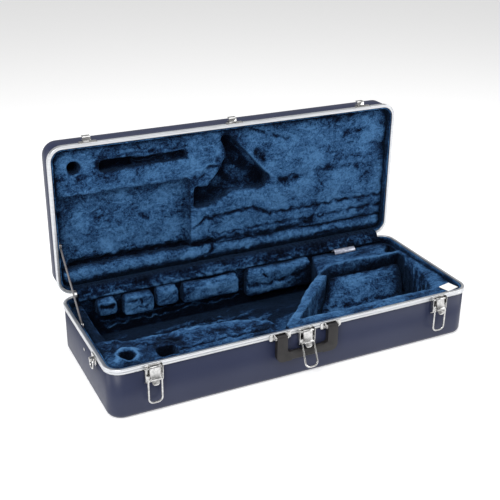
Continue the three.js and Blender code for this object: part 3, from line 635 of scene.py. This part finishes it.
# Dents in the back pads painted darker as painted shade; the last, raised stroke gets a faint painted highlight.
PAD_MARKS = [
    ("front", [(-316, 84), (-300, 80), (-292, 83)], 4, 3, -1.0),
    ("front", [(-258, 88), (-246, 80)], 4, 3, -0.8),
    ("front", [(-234, 80), (-230, 78)], 4, 4, -1.1),
    ("front", [(-262, 58), (-240, 66), (-215, 62)], 3, 1.5, -0.4),
    ("front", [(-190, 64), (-172, 72), (-156, 84)], 3, 1.2, -0.35),
    ("front", [(-128, 84), (-80, 88), (-30, 87)], 2.5, 1.5, -0.5),
    ("front", [(-60, 58), (-30, 64)], 3, 1, -0.3),
    ("front", [(52, 82), (57, 78)], 4, 4, -1.1),
    ("front", [(16, 62), (60, 57), (110, 62), (172, 74)], 4, 3, -0.7),
    ("front", [(30, 44), (90, 48), (150, 60)], 7, -1.5, 0.1),
]

pad_names = [f"back_pad_{i}" for i in range(1, 6)]
pads = [soft_block(name + "_plush", [name], 3.4, 5) for name in pad_names]
left_pad = soft_block("left_end_pad_plush", ["left_end_pad"], 4.5, 6)
cushion = soft_block("bell_cushion_plush", ["bell_cushion"], 4.5, 7)
roll = soft_block("lid_hinge_roll_plush", ["lid_hinge_roll"], 5, 6)
swell([*pads, left_pad, cushion, roll], 2.2)

for i, pad in enumerate(pads):
    refine(pad)
    work_plush(pad, 31 + 5 * i, PAD_MARKS, 1.0)
    add(pad, "base", "plush", PLUSH, pad_names[i])

refine(left_pad)
# A dent down the left end pad painted darker as painted shade, and a broad stroke that sinks nothing and only paints
# shade.
LEFT_MARKS = [
    ("top", [(-360, -10), (-362, 60), (-360, 120)], 5, 2, -0.6),
    ("top", [(-370, -24), (-370, 60), (-368, 140)], 16, 0, -0.9),
]
# the whole left end pad starts darker: painted shade
work_plush(left_pad, 61, LEFT_MARKS, 1.2, painted_light_offset=-0.3)
add(left_pad, "base", "plush", PLUSH, "left_end_pad")

refine(cushion)
# dents in the bell cushion painted darker as painted shade, and a broad painted shade over its front face
work_plush(
    cushion,
    66,
    [
        ("top", [(190, 66), (260, 68), (366, 66)], 5, 2, -0.9),
        ("top", [(150, 8), (180, 60)], 5, 1, -0.5),
        ("top", [(150, 9), (240, 8), (340, 9)], 4, 1, -0.8),
        ("front", [(110, 30), (370, 30)], 36, 0, -0.3),
    ],
    1.2,
)
add(cushion, "base", "plush", PLUSH, "bell_cushion")

block = refine(soft_block("accessory_block_plush", ["accessory_block"], 3.2, 3))
# the whole accessory block starts a little darker: painted shade
work_plush(block, 71, BLOCK_MARKS, 1.5, painted_light_offset=-0.15)
add(block, "base", "plush", PLUSH, "accessory_block")

surround_nodes = ["front_ledge", "bell_divider", "bell_shelf", "right_end_pad"]
surround = refine(soft_block("bell_surround_plush", surround_nodes, 4, 4, grow=0.3))
work_plush(surround, 76, SURROUND_MARKS, 1.0)
add(surround, "base", "plush", PLUSH, *surround_nodes)

# ---- panels in the lid ----------------------------------------------------------------------------------
# Marks on the lid panels: dents painted darker as painted shade, raised lines painted lighter as painted highlight,
# and the last five strokes sink nothing and only paint shade into the slots and other deep places.
LID_MARKS = [
    ("top", [(-362, 104), (-200, 103), (-50, 105)], 6, 9, -1.2),
    ("top", [(-50, 105), (40, 104), (120, 108), (200, 100)], 9, 3, -0.9),
    ("top", [(-90, 66), (-60, 46), (50, 41), (90, 62), (380, 60)], 3.5, 3, -0.8),
    ("top", [(-60, 90), (60, 87), (220, 89), (380, 86)], 3, 2, -0.55),
    ("top", [(-12, -127), (40, -78), (92, -28)], 3.5, -3, 0.7),
    ("top", [(-92, -58), (-44, -78), (-36, -102)], 3.5, -2.5, 0.5),
    ("top", [(-96, -40), (-60, -50), (-44, -70)], 4, 1.5, -0.6),
    ("top", [(58, -84), (70, -70)], 8, 6, -1.2),
    ("top", [(118, -10), (152, -12)], 8, 5, -1.2),
    ("top", [(152, -14), (230, -24), (330, -20)], 5, 0.8, -0.5),
    ("top", [(230, -30), (280, -44), (340, -38)], 7, 0.5, -0.4),
    ("top", [(40, -140), (100, -116), (132, -106)], 3, 2, -0.7),
    ("top", [(270, -96), (330, -106)], 7, 0.6, -0.7),
    ("top", [(250, -132), (290, -138)], 6, 0.6, -0.6),
    ("top", [(350, -64), (378, -66)], 7, 0.6, -0.6),
    ("top", [(320, 70), (332, 70)], 6, 0.6, -0.7),
    ("top", [(358, 104), (364, 106)], 6, 0.6, -0.6),
    ("top", [(-336, -86), (-328, -90)], 5, 1, -0.6),
    ("top", [(-376, -88), (-370, -92)], 5, 1, -0.6),
    ("top", [(-300, -122), (-200, -120), (-100, -118)], 3, 0.8, -0.4),
    ("top", [(-214, -102), (-100, -102)], 2.5, -3, 0.4),
    ("top", [(-200, 20), (-192, 30)], 6, 1.5, -0.7),
    ("top", [(-320, 0), (-250, 30)], 8, 0.5, -0.35),
    ("top", [(-368, -52), (-230, -54), (-100, -56)], 4, -1, 0.3),
    ("top", [(-286, -101), (-220, -101)], 13, 0, -1.3),
    ("top", [(-212, -101), (-108, -102)], 8, 0, -0.9),
    ("top", [(-16, -126), (0, -96), (30, -58), (74, -20)], 15, 0, -1.0),
    ("top", [(-84, -4), (-50, 4), (-10, -24)], 13, 0, -0.9),
    ("top", [(-30, -60), (0, -40)], 18, 0, -0.6),
]
# Marks on the hinge roll: two dents painted darker as painted shade, a raised line painted lighter as painted
# highlight, and along the hinge side a stroke that sinks nothing and only paints shade.
ROLL_MARKS = [
    ("top", [(-80, 145), (-50, 122), (-45, 106)], 3.5, 2.5, -0.8),
    ("top", [(-370, 128), (-200, 126), (0, 130), (200, 126), (376, 130)], 9, -1.5, 0.25),
    ("top", [(210, 136), (260, 130)], 4, 1.5, -0.6),
    ("top", [(-384, 148), (384, 148)], 11, 0, -0.8),
]
panel_nodes = ["lid_slot_panel", "lid_sunk_panel", "lid_center_panel", "lid_bell_panel"]
panels = refine(soft_block("lid_panels_plush", panel_nodes, 4, 4, grow=0.3))
work_plush(panels, 81, LID_MARKS, 1.1, shut=True)
add(panels, "lid", "plush", PLUSH, *panel_nodes)

refine(roll)
work_plush(roll, 91, ROLL_MARKS, 1.2, shut=True)
add(roll, "lid", "plush", PLUSH, "lid_hinge_roll")


# ---- strip over the hinge line --------------------------------------------------------------------------
def hinge_strip():
    """A strip of plush from the base's back wall, round the hinge line and into the lid."""
    reach = 13.4 * MM  # the strip turns about the hinge at this distance
    thick = 1.3 * MM
    half = HALF_LENGTH - CORNER - 3 * MM
    steps = 10
    line = [(-14.4, -9), (-16.8, -7.6), (-17.8, -4.5), (-17, -0.8), (-14.8, 1.6)]
    for i in range(steps + 1):
        turn = math.radians(164 - 84 * i / steps)
        line.append((reach / MM * math.cos(turn), reach / MM * math.sin(turn)))
    line += [(6, 13.5), (9, 13.6), (12, 13.7)]
    line = np.array(line) * MM
    along = np.gradient(line, axis=0)
    along /= np.linalg.norm(along, axis=1, keepdims=True)
    side = np.stack([along[:, 1], -along[:, 0]], axis=1)
    stations = 360
    rings = []
    for i in range(stations + 1):
        x = -half + 2 * half * i / stations
        wave = 0.35 * MM * math.sin(x * 70) + 0.25 * MM * math.sin(x * 173 + 1) + 0.4 * MM * math.sin(x * 560)
        inward = line - side * (thick + wave)
        section = np.concatenate([line, inward[::-1]])
        ring = np.empty((len(section), 3))
        ring[:, 0] = x
        ring[:, 1] = section[:, 0] + hinge.y
        ring[:, 2] = section[:, 1] + hinge.z
        rings.append(ring)
    flat = (2 * half, float(np.linalg.norm(np.diff(line, axis=0), axis=1).sum()))
    return loft("hinge_cover_plush", rings), flat


strip, strip_flat = hinge_strip()
# Painted light on the hinge strip: a broad band that sinks nothing and only paints a lighter stripe, and a thin
# painted highlight above it.
STRIP_MARKS = [
    ("front", [(-370, 98), (370, 98)], 5, 0, 1.3),
    ("front", [(-370, 110), (370, 110)], 2, 0, 0.5),
]
# the strip in the hinge gap starts much darker: painted shade
work_plush(strip, 95, STRIP_MARKS, 0.15, painted_light_offset=-0.6)
add(strip, None, "plush_strip", PLUSH_STRIP_SHADED, "hinge_cover")
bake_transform(strip)


# ---- stay strap -------------------------------------------------------------------------------------------
def strap():
    """Webbing between the two rivets, a little slack, running on a little past each rivet."""
    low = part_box("strap_anchor_base")
    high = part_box("strap_anchor_lid")
    low_at = (low[0] + low[1]) / 2
    high_at = (high[0] + high[1]) / 2
    x = (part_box("stay_strap")[0].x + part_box("stay_strap")[1].x) / 2
    run = Vector((0, high_at.y - low_at.y, high_at.z - low_at.z))
    length = run.length
    along = run.normalized()
    across = Vector((0, -along.z, along.y))
    tail = 7 * MM
    half = 6 * MM
    thick = 0.6 * MM
    stations = 60
    rings = []
    for i in range(stations + 1):
        t = (i / stations) * (length + 2 * tail) - tail
        sag = 1.2 * MM * math.sin(math.pi * min(max(t / length, 0), 1))
        middle = Vector((x, low_at.y, low_at.z)) + along * t + across * sag
        section = [(-1, 0.6), (-0.9, 1), (-0.3, 0.85), (0.3, 0.85), (0.9, 1), (1, 0.6)]
        section += [(u, -v) for u, v in reversed(section)]
        ring = [middle + across * (u * half) + Vector((v * thick, 0, 0)) for u, v in section]
        rings.append(np.array([tuple(p) for p in ring]))
    return loft("stay_strap_webbing", rings), (2 * half, length + 2 * tail), low_at, high_at


webbing, strap_flat, strap_low, strap_high = strap()
add(webbing, None, "webbing", WEBBING, "stay_strap")
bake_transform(webbing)


# ---- fittings kept from the CAD -------------------------------------------------------------------------
def soften_edges(node, width, angle=35):
    """Eases a pressed or moulded part's edges and shades it smooth between them."""
    thing = nodes[node]
    thing.data.polygons.foreach_set("use_smooth", [True] * len(thing.data.polygons))
    weld = thing.modifiers.new("weld", "WELD")
    weld.merge_threshold = 0.01 * MM
    bevel = thing.modifiers.new("ease", "BEVEL")
    bevel.width = width * MM
    bevel.segments = 2
    bevel.limit_method = "ANGLE"
    bevel.angle_limit = math.radians(angle)
    bevel.harden_normals = False
    split = thing.modifiers.new("split", "EDGE_SPLIT")
    split.split_angle = math.radians(48)


for name, thing in nodes.items():
    if thing.hide_render:
        continue
    if name == "handle":
        soften_edges(name, 1.0)
        dress(thing, HANDLE)
    elif name == "label_card":
        dress(thing, CARD)
    elif name == "film_tag":
        soften_edges(name, 0.1)
        dress(thing, FILM)
    else:
        soften_edges(name, 0.25)
        dress(thing, CHROME)

scene.view_settings.view_transform = "Standard"

# ---- floor, light and camera ---------------------------------------------------------------------------
floor = mesh_object("floor", [(-6, -6, 0), (6, -6, 0), (6, 6, 0), (-6, 6, 0)], [(0, 1, 2, 3)])
floor_look = Look("floor", Roughness=0.9)
floor_look.shader.inputs["Base Color"].default_value = (0.93, 0.93, 0.93, 1)
floor_look.shader.inputs["Emission Color"].default_value = (1, 1, 1, 1)
floor_look.shader.inputs["Emission Strength"].default_value = 0.28
dress(floor, floor_look.material)

world = bpy.data.worlds.new("studio")
scene.world = world
world.use_nodes = True
background = world.node_tree.nodes["Background"]
background.inputs["Color"].default_value = (1, 1, 1, 1)
WORLD_LIGHT = 0.42  # the room's light on the case; the backdrop itself stays white
seen = world.node_tree.nodes.new("ShaderNodeLightPath")
strength = world.node_tree.nodes.new("ShaderNodeMath")
strength.operation = "MULTIPLY_ADD"
strength.inputs[1].default_value = 1 - WORLD_LIGHT
strength.inputs[2].default_value = WORLD_LIGHT
world.node_tree.links.new(seen.outputs["Is Camera Ray"], strength.inputs[0])
world.node_tree.links.new(strength.outputs[0], background.inputs["Strength"])


def softbox(name, at, toward, size, power):
    data = bpy.data.lights.new(name, "AREA")
    data.shape = "RECTANGLE"
    data.size, data.size_y = size
    data.energy = power
    lamp = bpy.data.objects.new(name, data)
    lamp.location = at
    lamp.rotation_euler = (Vector(toward) - Vector(at)).to_track_quat("-Z", "Y").to_euler()
    scene.collection.objects.link(lamp)


middle = (0, 0.05, 0.15)
softbox("key", (-1.6, -1.6, 2.2), middle, (1.4, 1.4), 58)
softbox("top", (0.3, -0.2, 2.4), middle, (2.4, 1.6), 26)
softbox("side", (-2.6, 0.5, 1.0), middle, (1.2, 1.2), 17)
softbox("fill", (2.2, -1.4, 1.2), middle, (1.4, 1.4), 22)

AZIMUTH = math.radians(-26.27)
ELEVATION = math.radians(24.56)
ROLL = math.radians(0.64)
CAMERA_AT = Vector((-0.7724, -1.4769, 0.9635))
LENS = 65.43  # for a 36 mm sensor
back = Vector(
    (
        math.sin(AZIMUTH) * math.cos(ELEVATION),
        -math.cos(AZIMUTH) * math.cos(ELEVATION),
        math.sin(ELEVATION),
    )
)
level_right = Vector((math.cos(AZIMUTH), math.sin(AZIMUTH), 0))
level_up = back.cross(level_right)
right = math.cos(ROLL) * level_right + math.sin(ROLL) * level_up
up = math.cos(ROLL) * level_up - math.sin(ROLL) * level_right
camera = bpy.data.objects.new("camera", bpy.data.cameras.new("camera"))
camera.data.sensor_width = 36
camera.data.lens = LENS
camera.matrix_world = Matrix.Translation(CAMERA_AT) @ Matrix((right, up, back)).transposed().to_4x4()
scene.collection.objects.link(camera)
scene.camera = camera
